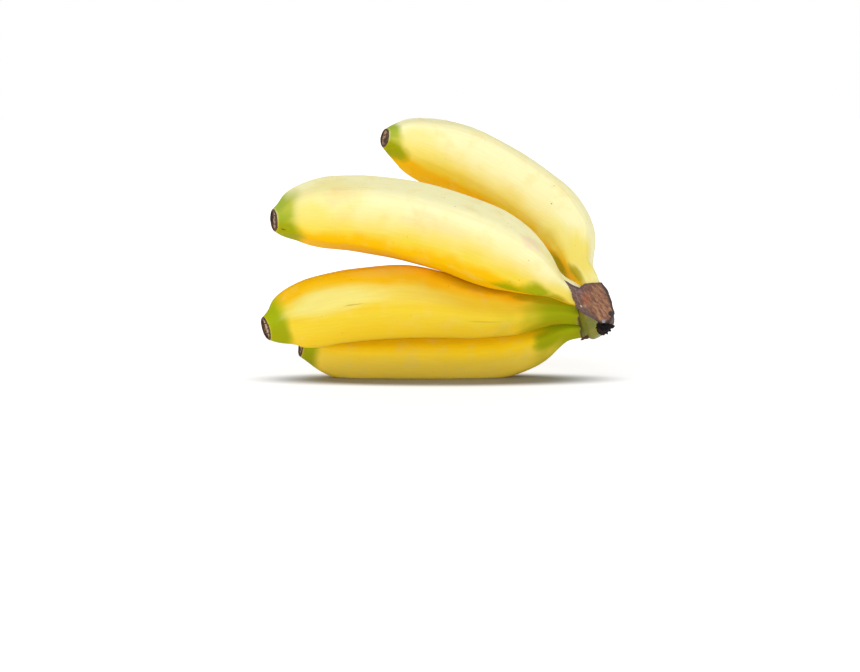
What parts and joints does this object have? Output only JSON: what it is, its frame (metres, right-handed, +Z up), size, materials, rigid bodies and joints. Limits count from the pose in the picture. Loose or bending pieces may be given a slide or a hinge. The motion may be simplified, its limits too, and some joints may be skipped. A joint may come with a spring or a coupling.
{
  "type": "hand of baby bananas",
  "caption": "Small hand of plump baby bananas that fan out from a dried brown crown, lying on the flattened side of its lowest fruit.",
  "frame": {"origin": "on the surface that the hand lies on, under the middle of its outline", "axes": "+X from the tips of the fruits to the crown, -Y the front that shows in the picture, +Z up"},
  "size_m": [0.1414, 0.078, 0.1032],
  "materials": {
    "peel": "smooth waxy banana peel, pale yellow to orange, green towards the tips and necks",
    "blossom_end": "dry dark-brown cork with a tan scar",
    "crown": "dried purple-brown fibres, green-grey at the side, black at the torn stump"
  },
  "bodies": {
    "root": {"finger_top": "peel", "finger_front": "peel", "finger_lower": "peel", "finger_under": "peel", "blossom_end_top": "blossom_end", "blossom_end_front": "blossom_end", "blossom_end_lower": "blossom_end", "blossom_end_under": "blossom_end", "crown": "crown"}
  },
  "joints": []
}
